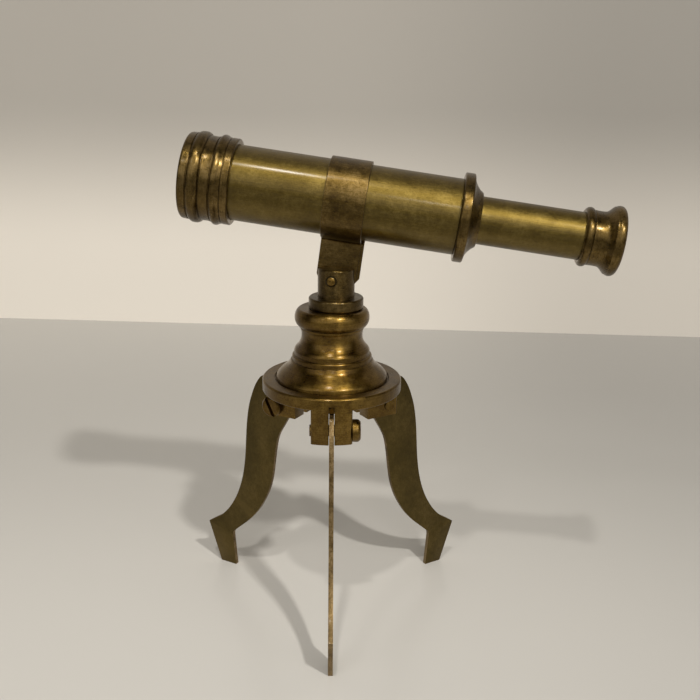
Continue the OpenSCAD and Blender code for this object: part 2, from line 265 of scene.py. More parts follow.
def ring_tree():
    """Sets copies of a piece evenly round the Z axis."""
    tree, keys = new_geometry_tree(
        "set_round_the_column",
        [
            ("Piece", "NodeSocketGeometry"),
            ("Copies", "NodeSocketInt"),
            ("First angle", "NodeSocketFloat"),
            ("Finish", "NodeSocketMaterial"),
        ],
    )
    bench = Bench(tree)
    given = bench.add("NodeGroupInput", out=None).outputs
    points = bench.add("GeometryNodeMeshLine", given["Copies"], mode="OFFSET", Offset=(0, 0, 0))
    share = bench.math("DIVIDE", bench.add("GeometryNodeInputIndex"), given["Copies"])
    angle = bench.math("ADD", bench.math("MULTIPLY", share, TAU), given["First angle"])
    turn = bench.add("ShaderNodeCombineXYZ", 0.0, 0.0, angle)
    placed = bench.add("GeometryNodeInstanceOnPoints", points, Instance=given["Piece"], Rotation=turn)
    close_tree(bench, placed, given["Finish"])
    return tree, keys


def grown(source, tree, keys, values, name):
    """A plain mesh made by that tree from a source mesh."""
    carrier = bpy.data.objects.new(name, source)
    bpy.context.scene.collection.objects.link(carrier)
    modifier = carrier.modifiers.new("grow", "NODES")
    modifier.node_group = tree
    for label, value in values.items():
        modifier[keys[label]] = value
    view = bpy.context.evaluated_depsgraph_get()
    mesh = bpy.data.meshes.new_from_object(carrier.evaluated_get(view))
    carrier.modifiers.clear()
    bpy.data.objects.remove(carrier)
    mesh.name = name
    return mesh


TREES = {}


def turned(profile, name, finish, place, facets=144):
    """A lathe-turned mesh: its profile is (along, radius) in millimetres, from a place matrix."""
    if "turn" not in TREES:
        TREES["turn"] = turning_tree()
    line = bpy.data.meshes.new(name + "_profile")
    line.from_pydata([(x, r, 0) for x, r in profile], [], [])
    values = {"Facets": facets, "Weld": 0.0005, "Finish": finish}
    mesh = grown(line, *TREES["turn"], values, name)
    bpy.data.meshes.remove(line)
    mesh.transform(place)
    return tidied(mesh)


def set_round(mesh, name, finish, copies=3, first=-math.pi / 2):
    """Copies of a mesh round the column's axis, in its millimetre frame."""
    if "ring" not in TREES:
        TREES["ring"] = ring_tree()
    values = {"Copies": copies, "First angle": first, "Finish": finish}
    made = grown(mesh, *TREES["ring"], values, name)
    made.transform(AT_COLUMN)
    return tidied(made)


# ---- mesh work ----
def tidied(mesh, sharp=38):
    """Faces outwards and smooth, with only real corners left sharp."""
    work = bmesh.new()
    work.from_mesh(mesh)
    bmesh.ops.dissolve_degenerate(work, dist=1e-9, edges=work.edges)
    bmesh.ops.recalc_face_normals(work, faces=work.faces)
    for face in work.faces:
        face.smooth = True
    for edge in work.edges:
        edge.smooth = edge.calc_face_angle(0) < math.radians(sharp)
    work.to_mesh(mesh)
    work.free()
    return mesh


def from_bmesh(work, name, finish):
    mesh = bpy.data.meshes.new(name)
    work.to_mesh(mesh)
    work.free()
    mesh.materials.append(finish)
    return mesh


def lofted(loops, name, finish):
    """A closed skin through loops of equal length, capped at both ends."""
    work = bmesh.new()
    rows = [[work.verts.new(p) for p in loop] for loop in loops]
    for low, high in zip(rows, rows[1:]):
        for i in range(len(low)):
            j = (i + 1) % len(low)
            work.faces.new((low[i], low[j], high[j], high[i]))
    work.faces.new(rows[0])
    work.faces.new(rows[-1])
    return from_bmesh(work, name, finish)


def slab(outline, low, high, name, finish, bevel=0.15, segments=2, hole=None):
    """A plate of that outline between two heights on Z, its edges eased."""
    work = bmesh.new()
    loops = [outline] + ([hole] if hole else [])
    edges = []
    for loop in loops:
        verts = [work.verts.new((x, y, low)) for x, y in loop]
        edges += [work.edges.new((verts[i - 1], verts[i])) for i in range(len(verts))]
    bmesh.ops.triangle_fill(work, edges=edges, use_beauty=True)
    made = bmesh.ops.extrude_face_region(work, geom=work.faces[:])
    top = [item for item in made["geom"] if isinstance(item, bmesh.types.BMVert)]
    bmesh.ops.translate(work, verts=top, vec=(0, 0, high - low))
    bmesh.ops.recalc_face_normals(work, faces=work.faces)
    if bevel:
        corners = [e for e in work.edges if e.calc_face_angle(0) > math.radians(40)]
        bmesh.ops.bevel(
            work, geom=corners, offset=bevel, segments=segments, affect="EDGES", profile=0.5,
            clamp_overlap=True,
        )
    return from_bmesh(work, name, finish)


def joined(meshes, name):
    """Several meshes as one, keeping the first one's finish."""
    work = bmesh.new()
    for mesh in meshes:
        work.from_mesh(mesh)
    made = bpy.data.meshes.new(name)
    work.to_mesh(made)
    work.free()
    made.materials.append(meshes[0].materials[0])
    for mesh in meshes:
        bpy.data.meshes.remove(mesh)
    return made


def carved(mesh, tool, operation, name):
    """The mesh with another cut from it or welded to it."""
    body, cutter = (bpy.data.objects.new(n, m) for n, m in ((name, mesh), (name + "_tool", tool)))
    for item in (body, cutter):
        bpy.context.scene.collection.objects.link(item)
    modifier = body.modifiers.new("cut", "BOOLEAN")
    modifier.operation, modifier.solver, modifier.object = operation, "EXACT", cutter
    modifier.use_self = operation == "UNION"
    view = bpy.context.evaluated_depsgraph_get()
    made = bpy.data.meshes.new_from_object(body.evaluated_get(view))
    for item in (body, cutter):
        bpy.data.objects.remove(item)
    made.name = name
    return made


def settle(mesh, name, body, slot, *nodes):
    """Puts a finished mesh into the scene as a piece that rides on its body."""
    if not mesh.polygons:
        raise RuntimeError(f"{name} came out with no faces")
    for old in [o for o in bpy.data.objects if o.name == name and "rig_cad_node" not in o]:
        bpy.data.objects.remove(old)
    piece = bpy.data.objects.new(name, mesh)
    bpy.context.scene.collection.objects.link(piece)
    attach(piece, body)
    if nodes:
        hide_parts(*nodes)
    return piece


# ---- finishes ----
def colour(rgb):
    """A colour as the eye reads it, 0 to 255, turned into light."""
    shares = [v / 255 for v in rgb]
    return [c / 12.92 if c <= 0.04045 else ((c + 0.055) / 1.055) ** 2.4 for c in shares] + [1.0]


def new_finish(name):
    material = bpy.data.materials.new(name)
    material.use_nodes = True
    material.node_tree.nodes.clear()
    return material, Bench(material.node_tree)


def ramp(bench, value, stops):
    node = bench.add("ShaderNodeValToRGB", value, out=None)
    elements = node.color_ramp.elements
    while len(elements) < len(stops):
        elements.new(1.0)
    for element, (position, tone) in zip(elements, stops):
        element.position, element.color = position, tone
    return node.outputs[0]


MARK_DEPTH = 0.00006
LACQUER_ROUGHNESS = 0.17
GROOVE_STRETCH = 0.65
QUARTER_TURN = 0.25


def brass(name, tones, place, grain, rough, relief, patina, speckle, wear, spread, lacquer):
    """Old brass: cloudy patina, fine specks, tool marks along its grain, rubbed edges, worn lacquer, and dirt with
    painted shade in its hollows.
    """
    material, bench = new_finish(name)
    where = bench.add("ShaderNodeTexCoord", out=3)
    spot, turn, _ = place.decompose()
    local = bench.add("ShaderNodeMapping", where, spot, turn.to_euler(), (MM, MM, MM), vector_type="TEXTURE")
    x, y, z = bench.add("ShaderNodeSeparateXYZ", local, out=None).outputs
    radius = bench.math("SQRT", bench.math("ADD", bench.math("MULTIPLY", y, y), bench.math("MULTIPLY", z, z)))

    def noise(vector, scale, detail, steps):
        return bench.add("ShaderNodeTexNoise", Vector=vector, Scale=scale, Detail=detail, Roughness=steps)

    if grain == "turned":
        sway = bench.math("MULTIPLY", bench.math("ADD", y, z), 0.03)
        marks_at = bench.add("ShaderNodeCombineXYZ", x, radius, sway)
        marks = noise(marks_at, 4.5, 6.0, 0.72)
    elif grain == "drawn":
        marks_at = bench.vector_math("MULTIPLY", local, (0.06, 1.0, 1.0))
        marks = noise(marks_at, 4.0, 6.0, 0.7)
    else:
        marks_at = bench.vector_math("MULTIPLY", local, (1.0, 1.0, 0.25))
        marks = noise(marks_at, 3.0, 6.0, 0.7)
    clouds = noise(local, patina, 6.0, 0.62)
    blots = noise(local, patina * 6, 5.0, 0.7)
    specks = noise(local, 2.6, 3.0, 0.75)
    body = bench.math("ADD", bench.math("MULTIPLY", clouds, 0.55), bench.math("MULTIPLY", blots, 0.45))
    body = bench.math("ADD", body, bench.math("MULTIPLY", bench.math("SUBTRACT", marks, 0.5), 0.35))
    body = bench.math("ADD", body, bench.math("MULTIPLY", bench.math("SUBTRACT", specks, 0.5), 0.5))
    dark, mid, bright = (colour(t) for t in tones)
    tone = ramp(bench, body, [(0.5 - spread, dark), (0.5, mid), (0.5 + spread, bright)])
    pits = bench.add("ShaderNodeMapRange", specks, 0.52, 0.66, 0.0, speckle)
    tone = bench.blend(pits, tone, dark)
    edge = bench.add("ShaderNodeNewGeometry", out=7)
    rubbed = bench.add("ShaderNodeMapRange", edge, 0.53, 0.62, 0.0, wear)
    # hollows are darkened towards a near-black tone: dirt, and painted shade where little light reaches
    hollow_dirt_and_shade = bench.add("ShaderNodeMapRange", edge, 0.49, 0.42, 0.0, 0.85)
    tone = bench.blend(rubbed, tone, bright)
    dirt_and_shade_tone = [c * 0.18 for c in dark[:3]] + [1.0]
    tone = bench.blend(hollow_dirt_and_shade, tone, dirt_and_shade_tone)
    dull = bench.add("ShaderNodeMapRange", blots, 0.35, 0.65, rough[0], rough[1])
    dull = bench.math("ADD", dull, bench.math("MULTIPLY", bench.math("SUBTRACT", marks, 0.5), 0.25))
    dull = bench.math("ADD", dull, bench.math("MULTIPLY", hollow_dirt_and_shade, 0.3))
    height = bench.math("ADD", marks, bench.math("MULTIPLY", specks, 0.5))
    height = bench.math("ADD", height, bench.math("MULTIPLY", blots, 0.8))
    bump = bench.add("ShaderNodeBump", relief, MARK_DEPTH, Height=height)
    shader = bench.add(
        "ShaderNodeBsdfPrincipled", Base_Color=tone, Metallic=1.0, Roughness=dull, Normal=bump,
        Coat_Weight=lacquer, Coat_Roughness=LACQUER_ROUGHNESS, out=None,
    )
    if grain == "turned":
        arm = bench.vector_math("SUBTRACT", where, spot)
        round_axis = bench.vector_math("CROSS_PRODUCT", turn @ Vector((1, 0, 0)), arm)
        groove = bench.add(
            "ShaderNodeVectorTransform", round_axis, vector_type="VECTOR", convert_from="OBJECT", convert_to="WORLD"
        )
        bench.tree.links.new(groove, shader.inputs["Tangent"])
        shader.inputs["Anisotropic"].default_value = GROOVE_STRETCH
        shader.inputs["Anisotropic Rotation"].default_value = QUARTER_TURN
    bench.add("ShaderNodeOutputMaterial", shader.outputs[0], out=None)
    return material


def glass(name, tint):
    """Coated lens glass with a faint smear of dust."""
    material, bench = new_finish(name)
    where = bench.add("ShaderNodeTexCoord", out=3)
    local = bench.add("ShaderNodeMapping", where, None, None, (1 / MM, 1 / MM, 1 / MM))
    dust = bench.add("ShaderNodeTexNoise", Vector=local, Scale=0.9, Detail=5.0)
    haze = bench.add("ShaderNodeMapRange", dust, 0.45, 0.75, 0.02, 0.2)
    shader = bench.add(
        "ShaderNodeBsdfPrincipled", Base_Color=colour(tint), Roughness=haze, IOR=1.52, Transmission_Weight=0.9
    )
    bench.add("ShaderNodeOutputMaterial", shader, out=None)
    return material


# colours and how much of them, frame, grain, roughness, relief, patina's scale, specks, wear, contrast, lacquer
RECIPES = {
    "turned_brass": ("turned", 1, LATHE, "turned", (0.27, 0.4), 0.35, 0.07, 0.3, 0.5, 0.14, 0.2),
    "tube_brass": ("tube", 1, AT_TUBE, "drawn", (0.33, 0.46), 0.5, 0.2, 0.55, 0.5, 0.24, 0.3),
    "ring_brass": ("ring", 1, AT_TUBE, "turned", (0.24, 0.42), 0.35, 0.12, 0.35, 0.5, 0.14, 0.2),
    "stem_brass": ("ring", 0.88, LATHE, "turned", (0.28, 0.44), 0.35, 0.12, 0.35, 0.5, 0.14, 0.2),
    "strap_brass": ("ring", 1, AT_TUBE, "drawn", (0.28, 0.44), 0.35, 0.12, 0.4, 0.5, 0.14, 0.2),
    "leg_brass": ("leg", 1, AT_COLUMN, "sawn", (0.32, 0.5), 0.5, 0.12, 0.4, 0.3, 0.24, 0.15),
    "sawn_edge": ("edge", 1, AT_COLUMN, "sawn", (0.4, 0.6), 0.8, 0.3, 0.5, 0.5, 0.14, 0.2),
    "screw_brass": ("turned", 1, AT_COLUMN, "sawn", (0.3, 0.5), 0.5, 0.2, 0.5, 0.5, 0.14, 0.2),
    # the rivet head's rim: the leg's tones at half brightness, as painted shade
    "grimy_brass": ("leg", 0.5, AT_COLUMN, "sawn", (0.5, 0.7), 0.5, 0.3, 0.5, 0.0, 0.14, 0.05),
}
LENS_TINT = (214, 226, 224)
FINISHES = {}


def finish(name):
    """The named finish, made once from the panel's colours."""
    if name not in FINISHES:
        if name == "lens_glass":
            FINISHES[name] = glass(name, LENS_TINT)
        else:
            kind, share, *recipe = RECIPES[name]
            tones = bpy.context.scene.spyglass_colours.mix(kind, share)
            FINISHES[name] = brass(name, tones, *recipe)
    return FINISHES[name]


# ---- profiles of the turned pieces: (along, radius) ----
CELL_PROFILE = (
    [(0.5, 8.2), (0, 8.7), (0, 10)]
    + arc(0.75, 10.15, 0.75, 0.75, 180, 90, 5)
    + [(2.1, 10.98), (2.15, 10.78), (2.3, 10.78)]
    + smooth(
        [(2.4, 10.95), (2.7, 11.25), (3.2, CELL_R - 0.04), (3.8, CELL_R), (4.4, CELL_R - 0.04), (4.95, 11.2)], 4
    )
    + [(5.25, 10.85), (5.3, 10.55), (5.45, 10.55)]
    + smooth([(5.55, 10.72), (6.2, 10.66), (7.1, 10.66), (7.8, 10.78)], 4)
    + [(7.9, 10.55), (8.05, 10.55)]
    + smooth(
        [(8.15, 10.85), (8.45, 11.22), (8.95, CELL_R - 0.12), (9.5, 11.25), (10, 10.98), (10.65, 10.8)], 4
    )
    + [(10.7, 10.58), (10.85, 10.58), (10.9, 10.9), (12.5, 10.9), (12.7, 10.65)]
    + [(12.7, TUBE_R + 0.02), (5.55, TUBE_R + 0.02), (5.55, 8.95), (2.6, 8.95), (2.6, 8.2)]
)
RING_PROFILE = (
    [(0, RING_R - 0.5)]
    + arc(0.5, RING_R - 0.5, 0.5, 0.5, 180, 90, 5)
    + arc(2.1, RING_R - 0.5, 0.5, 0.5, 90, 10, 5)
    + smooth([(2.7, 10), (3.1, 9.05), (3.65, 8.2), (4.3, 7.45), (5, 6.95)], 4)
    + [(5.2, 6.75), (5.2, DRAW_R + 0.05), (SLEEVE_X - RING_X, DRAW_R + 0.05)]
    + [(SLEEVE_X - RING_X, BORE_R - 0.02), (0, BORE_R - 0.02)]
)
EYE_PROFILE = (
    [(0, DRAW_R + 0.02), (0, 6.7)]
    + arc(1.15, 6.6, 1.05, 0.85, 170, 15, 10)
    + smooth([(2.4, 6.92), (3.2, 6.86), (4.3, 6.84), (5.2, 6.92), (5.8, 7.2), (6.5, 7.85), (7.1, 8.45)], 4)
    + arc(8.3, EYE_R - 1.2, 1.3, 1.2, 130, 0, 10)
    + [(9.6, 7.2), (9.3, 6.4), (8.4, 5.4), (7.6, 4), (6.2, 4), (6.2, 5.2), (4.5, 5.2), (4.5, DRAW_R + 0.02)]
)
# height above the flange's underside, radius
COLUMN_PROFILE = (
    [(0, 3.06), (0, FLANGE_R - 0.3), (0.3, FLANGE_R), (FLANGE_T - 0.35, FLANGE_R)]
    + [(FLANGE_T, FLANGE_R - 0.35), (FLANGE_T, 15.3), (FLANGE_T - 0.4, 15.15), (FLANGE_T - 0.4, 14.85)]
    + smooth([(3.75, 14.75), (4.3, 14.55), (5.25, 13.7), (6.25, 12.5), (7.2, 11.5), (8.35, 10.85)], 6)
    + [(8.4, 10.55), (9.5, 10.55), (9.8, 10.3), (9.85, 9.98)]
    + smooth(
        [(11.05, 9.98), (11.65, 9.65), (12.2, 9.15), (13, 8.6), (14.1, 8.15), (15.2, 8.03), (16.2, 8.15), (17, 8.45)],
        5,
    )
    + [(17.45, 8.45)]
    + [(v, u) for u, v in arc(8.33, 19.85, 1.5, 2.35, -72, 72, 18)]
    + [(COLUMN_H, 8.6), (COLUMN_H, 3.06)]
)


def shifted(profile, along):
    return [(x + along, r) for x, r in profile]


# ---- sizes and colours on the panel ----
class SpyglassSizes(bpy.types.PropertyGroup):
    """Workshop sizes of the detail on the pieces."""

    facets: bpy.props.IntProperty(
        name="Facets", description="Facets round a turned piece", default=144, min=24
    )
    corner: bpy.props.FloatProperty(
        name="Corner", description="How far a turned corner is eased, in millimetres", default=0.12, min=0.01
    )
    plate_edge: bpy.props.FloatProperty(
        name="Plate edge", description="How far the legs' edges are eased, in millimetres", default=0.14,
        min=0.01,
    )
    table_width: bpy.props.FloatProperty(
        name="Table width", description="Width of the table", default=4.0, subtype="DISTANCE", unit="LENGTH"
    )
    wall_height: bpy.props.FloatProperty(
        name="Wall height", description="Height of the wall behind", default=1.6, subtype="DISTANCE",
        unit="LENGTH",
    )


def tone(name, description, rgb):
    return bpy.props.FloatVectorProperty(
        name=name, description=description, default=[v / 255 for v in rgb], size=3, min=0, max=1,
        subtype="COLOR_GAMMA",
    )


class SpyglassColours(bpy.types.PropertyGroup):
    """Dark, middle and bright tone of each brass, and the table and wall."""

    turned_dark: tone("Head, dark", "Dark patina of the turned head", (76, 54, 18))
    turned_mid: tone("Head", "Middle tone of the turned head", (98, 75, 27))
    turned_bright: tone("Head, bright", "Rubbed tone of the turned head", (128, 102, 48))
    tube_dark: tone("Tubes, dark", "Dark patina of the drawn tubes", (76, 60, 20))
    tube_mid: tone("Tubes", "Middle tone of the drawn tubes", (100, 83, 35))
    tube_bright: tone("Tubes, bright", "Rubbed tone of the drawn tubes", (132, 112, 58))
    ring_dark: tone("Rings, dark", "Dark patina of the cell, end ring and eyepiece", (70, 53, 20))
    ring_mid: tone("Rings", "Middle tone of the cell, end ring and eyepiece", (92, 73, 32))
    ring_bright: tone("Rings, bright", "Rubbed tone of the cell, end ring and eyepiece", (124, 102, 60))
    leg_dark: tone("Legs, dark", "Dark patina of the legs", (62, 52, 22))
    leg_mid: tone("Legs", "Middle tone of the legs", (84, 70, 33))
    leg_bright: tone("Legs, bright", "Rubbed tone of the legs", (112, 94, 52))
    edge_dark: tone("Sawn edges, dark", "Dark tone of the legs' sawn edges", (78, 62, 34))
    edge_mid: tone("Sawn edges", "Middle tone of the legs' sawn edges", (116, 95, 60))
    edge_bright: tone("Sawn edges, bright", "Rubbed tone of the legs' sawn edges", (158, 136, 98))
    table: tone("Table", "Colour of the table", (212, 209, 203))
    wall: tone("Wall", "Colour of the wall", (206, 199, 188))

    def mix(self, kind, share):
        """The dark, middle and bright tone of one brass, 0 to 255, darkened to that share."""
        return [[share * 255 * v for v in getattr(self, f"{kind}_{shade}")] for shade in ("dark", "mid", "bright")]


# ---- operators: one for each piece or group of like pieces ----
class BuildPiece:
    bl_options = {"REGISTER", "UNDO"}

    def execute(self, context):
        self.build(context.scene.spyglass_sizes)
        return {"FINISHED"}


class SPYGLASS_OT_stage(BuildPiece, bpy.types.Operator):
    """Lay the table and wall, hang the lights and set up the camera"""

    bl_idname = "spyglass.stage"
    bl_label = "Table, wall, lights and camera"

    def build(self, sizes):
        tones = bpy.context.scene.spyglass_colours
        lay_table(sizes, tones)
        hang_lights()
        set_camera()


class SPYGLASS_OT_tubes(BuildPiece, bpy.types.Operator):
    """Draw the main tube and the smaller draw tube"""

    bl_idname = "spyglass.tubes"
    bl_label = "Main tube and draw tube"

    def build(self, sizes):
        brass_tube = finish("tube_brass")
        wall = [(TUBE_X, BORE_R), (RING_X - 0.01, BORE_R), (RING_X - 0.01, TUBE_R), (TUBE_X, TUBE_R)]
        mesh = turned(eased(wall, sizes.corner, True), "main_tube_skin", brass_tube, AT_TUBE, sizes.facets)
        settle(mesh, "tube_main", "telescope", "tube_brass", "main_tube")
        wall = [(DRAW_X, DRAW_BORE), (DRAW_END, DRAW_BORE), (DRAW_END, DRAW_R), (DRAW_X, DRAW_R)]
        mesh = turned(eased(wall, sizes.corner, True), "draw_tube_skin", brass_tube, AT_TUBE, sizes.facets)
        settle(mesh, "tube_draw", "draw", "tube_brass", "draw_tube")
        stop = [(-1.4, 4.4), (-0.4, 4.4), (0, 4.9), (2.4, 4.9), (2.4, DRAW_BORE - 0.02)]
        stop += [(-0.01, DRAW_BORE - 0.02), (-0.01, BORE_R - 0.06), (-1.4, BORE_R - 0.06), (-1.4, 4.4)]
        mesh = turned(shifted(stop, DRAW_X), "stop_ring", finish("screw_brass"), AT_TUBE)
        settle(mesh, "stop_ring_inner", "draw", "screw_brass", "draw_stop")


class SPYGLASS_OT_rings(BuildPiece, bpy.types.Operator):
    """Turn the objective cell, the end ring, the eyepiece and the rings that hold the glass"""

    bl_idname = "spyglass.rings"
    bl_label = "Cell, end ring and eyepiece"

    def build(self, sizes):
        ring_brass, dull = finish("ring_brass"), finish("screw_brass")
        for profile, x, name, body, node in (
            (CELL_PROFILE, CELL_X, "cell_turned", "telescope", "objective_cell"),
            (RING_PROFILE, RING_X, "ring_turned", "telescope", "end_ring"),
            (EYE_PROFILE, EYE_X, "eyecup_turned", "draw", "eyepiece"),
        ):
            line = eased(shifted(profile, x), sizes.corner, True)
            settle(turned(line, name, ring_brass, AT_TUBE, sizes.facets), name, body, "ring_brass", node)
        for x, length, inner, outer, name, body, node in (
            (CELL_X + 4.25, 1.25, 7.9, 8.9, "cell_lock_ring", "telescope", "objective_retainer"),
            (EYE_X + 3.1, 1.35, 4.3, DRAW_BORE - 0.02, "eye_lock_ring", "draw", "eye_retainer"),
        ):
            line = [(x, inner), (x + length, inner), (x + length, outer), (x, outer)]
            mesh = turned(eased(line, sizes.corner, True), name, dull, AT_TUBE, sizes.facets)
            settle(mesh, name, body, "screw_brass", node)


class SPYGLASS_OT_lenses(BuildPiece, bpy.types.Operator):
    """Grind the objective and the eye lens"""

    bl_idname = "spyglass.lenses"
    bl_label = "Lenses"

    def build(self, sizes):
        glass_finish = finish("lens_glass")
        front = [(CELL_X + 2.1 + 0.6 * (i / 10) ** 2, 8.1 * i / 10) for i in range(11)]
        rim = [(CELL_X + 2.7, 8.85), (CELL_X + 4.2, 8.85), (CELL_X + 4.2, 0)]
        mesh = turned(eased(front + rim, 0.08), "objective_glass", glass_finish, AT_TUBE, sizes.facets)
        settle(mesh, "lens_objective", "telescope", "lens_glass", "objective_lens")
        back = [(EYE_X + 6.15, 0), (EYE_X + 6.15, 5.1), (EYE_X + 4.5, 5.1)]
        curve = [(EYE_X + 4.5 + 0.8 * (1 - (i / 10) ** 2), 4.6 * i / 10) for i in range(10, -1, -1)]
        mesh = turned(eased(back + curve, 0.08), "eye_glass", glass_finish, AT_TUBE, sizes.facets)
        settle(mesh, "lens_eye", "draw", "lens_glass", "eye_lens")


class SPYGLASS_OT_strap(BuildPiece, bpy.types.Operator):
    """Bend the strap round the tube and pinch its ends together"""

    bl_idname = "spyglass.strap"
    bl_label = "Clamp strap"

    def build(self, sizes):
        mesh = bent_strap(finish("strap_brass"))
        settle(mesh, "strap_bent", "telescope", "strap_brass", "clamp_strap")


class SPYGLASS_OT_stem(BuildPiece, bpy.types.Operator):
    """Turn and slot the stem, with its rivet, washer and screw"""

    bl_idname = "spyglass.stem"
    bl_label = "Stem, rivet, washer and screw"

    def build(self, sizes):
        stem_brass, dull = finish("stem_brass"), finish("screw_brass")
        settle(slotted_stem(sizes, stem_brass), "stem_turned", "swivel", "ring_brass", "stem")
        settle(pivot_rivet(dull), "rivet_peened", "swivel", "screw_brass", "pivot_rivet")
        below = AT_STEM @ UPRIGHT
        ring = [(-0.9, 1.6), (-0.1, 1.6), (-0.1, 4.6), (-0.9, 4.6)]
        mesh = turned(eased(shifted(ring, FLANGE_Z), sizes.corner, True), "washer", dull, below, 96)
        settle(mesh, "washer_under", "swivel", "screw_brass", "stem_washer")
        post = [(-2.6, 0), (-2.6, 2.7), (-0.92, 2.7), (-0.92, 1.25), (7, 1.25), (7, 0)]
        screw = turned(eased(shifted(post, FLANGE_Z), 0.15), "under_screw", dull, below, 96)
        cut = block((-4, -0.35, FLANGE_Z - 3), (4, 0.35, FLANGE_Z - 1.8), dull)
        cut.transform(AT_STEM)
        mesh = tidied(carved(screw, cut, "DIFFERENCE", "under_screw_cut"))
        settle(mesh, "screw_under", "swivel", "screw_brass", "stem_screw")


class SPYGLASS_OT_head(BuildPiece, bpy.types.Operator):
    """Turn the head and fit its three slotted lugs"""

    bl_idname = "spyglass.head"
    bl_label = "Head with lugs"

    def build(self, sizes):
        settle(turned_head(sizes, finish("turned_brass")), "head_turned", "stand", "turned_brass", "head")


class SPYGLASS_OT_legs(BuildPiece, bpy.types.Operator):
    """Saw the three legs from plate"""

    bl_idname = "spyglass.legs"
    bl_label = "Legs"

    def build(self, sizes):
        for index, leg in enumerate(LEGS):
            mesh = sawn_leg(sizes, finish("leg_brass"))
            mesh.transform(at_leg(index) @ Matrix.Rotation(math.pi / 2, 4, "X"))
            settle(tidied(mesh, 30), f"plate_{leg}", f"leg_{leg}", "leg_brass", f"leg_{leg}")


class SPYGLASS_OT_leg_screws(BuildPiece, bpy.types.Operator):
    """Cut the three cheese-head screws that the legs fold on"""

    bl_idname = "spyglass.leg_screws"
    bl_label = "Leg screws"

    def build(self, sizes):
        dull = finish("screw_brass")
        mesh = set_round(cheese_screw(dull), "leg_screws_cut", dull)
        nodes = [f"leg_screw_{leg}" for leg in LEGS]
        settle(mesh, "screws_cheese_head", "stand", "screw_brass", *nodes)


def block(low, high, material):
    """A plain cutting block between two corners."""
    outline = [(low[0], low[1]), (high[0], low[1]), (high[0], high[1]), (low[0], high[1])]
    return slab(outline, low[2], high[2], "block", material, bevel=0)


def bent_strap(material):
    """The strip's path is up one cheek, round the tube and down the other; its section is an eased strip."""
    half = STRAP_T / 2
    neck_y = STRAP_T + 0.025 + NECK_R
    neck_z = math.sqrt((STRAP_R + STRAP_T + NECK_R) ** 2 - neck_y**2)
    meet = math.degrees(math.atan2(neck_z, neck_y))
    cheek = 0.025 + half
    low = -ARM - 2.9
    heights = [low, low + 0.12, low + 0.6, -ARM + 0.5, -ARM + 0.7]
    heights += [low + 3.7 + i * (-neck_z - low - 3.7) / 8 for i in range(1, 9)]
    path = [(-cheek, z) for z in heights]
    path += arc(-neck_y, -neck_z, NECK_R + half, NECK_R + half, 0, meet, 8)[1:]
    path += arc(0, 0, STRAP_R + half, STRAP_R + half, 180 + meet, 90, 48)[1:]
    path += [(-y, z) for y, z in reversed(path[:-1])]
    side = STRAP_W / 2
    width = [(low, -2.3, 2.0), (low + 0.12, -2.45, 2.15), (low + 0.6, -3.4, 3.1)]
    width += [(-ARM + 0.6, -side, side), (99, -side, side)]

    def edges(z):
        for (z0, a0, b0), (z1, a1, b1) in zip(width, width[1:]):
            if z <= z1:
                t = max(0.0, (z - z0) / (z1 - z0))
                return a0 + (a1 - a0) * t, b0 + (b1 - b0) * t
        return width[-1][1:]

    loops = []
    for i, (y, z) in enumerate(path):
        ahead, behind = Vector(path[min(i + 1, len(path) - 1)]), Vector(path[max(i - 1, 0)])
        along = (ahead - behind).normalized()
        outwards = Vector((-along.y, along.x))
        left, right = edges(z)
        lean = STRAP_SKEW * min(1.0, max(0.0, -z / TUBE_R)) if y > 0 else 0.0
        section = eased([(left, -half), (right, -half), (right, half), (left, half)], 0.16, True)[:-1]
        loops.append([(x + lean, y + n * outwards.x, z + n * outwards.y) for x, n in section])
    mesh = lofted(loops, "strap_strip", material)
    mesh.transform(AT_TUBE)
    return tidied(mesh, 35)


def slotted_stem(sizes, material):
    foot = [(FLANGE_Z + 0.3, 0), (FLANGE_Z + 0.3, 3), (COLLAR_Z, 3), (COLLAR_Z, 6.9), (COLLAR_Z + 0.25, 7.15)]
    foot += [(COLLAR_Z + 2.6, 7.15), (COLLAR_TOP, 6.85), (COLLAR_TOP, STEM_R), (STEM_TOP - 0.3, STEM_R)]
    foot += [(STEM_TOP, STEM_R - 0.3), (STEM_TOP, 0)]
    post = turned(eased(foot, sizes.corner), "stem_post", material, AT_STEM @ UPRIGHT, sizes.facets)
    slot = block((-STEM_R - 1, -0.9, SLOT_Z), (STEM_R + 1, 0.9, STEM_TOP + 5), material)
    slot.transform(AT_STEM)
    return tidied(carved(post, slot, "DIFFERENCE", "stem_slotted"), 30)


def pivot_rivet(material):
    """A shank with a peened dome at both ends."""
    seat, steps = STEM_R + 0.01, 10
    widest = math.asin(RIVET_HEAD_R / RIVET_BALL_R)
    angles = [widest * (1 - i / steps) for i in range(steps + 1)]
    cap = [(seat, 0.9), (seat, RIVET_HEAD_R)]
    cap += [(seat - RIVET_SINK + RIVET_BALL_R * math.cos(a), RIVET_BALL_R * math.sin(a)) for a in angles]
    profile = [(-x, r) for x, r in reversed(cap)] + cap
    across = AT_STEM @ Matrix.Translation((-RIVET_OFFSET, 0, RIVET_Z)) @ Matrix.Rotation(math.pi / 2, 4, "Z")
    rivet = turned(eased(profile, 0.06), "rivet", material, across, 64)
    rivet.materials.append(finish("grimy_brass"))
    centre = across.inverted()
    # faces of the head beyond that radius take the darker finish, a painted shade ring round the dome
    for face in rivet.polygons:
        spot = centre @ face.center
        if math.hypot(spot.y, spot.z) > RIVET_SHADE_RIM:
            face.material_index = len(rivet.materials) - 1
    return rivet


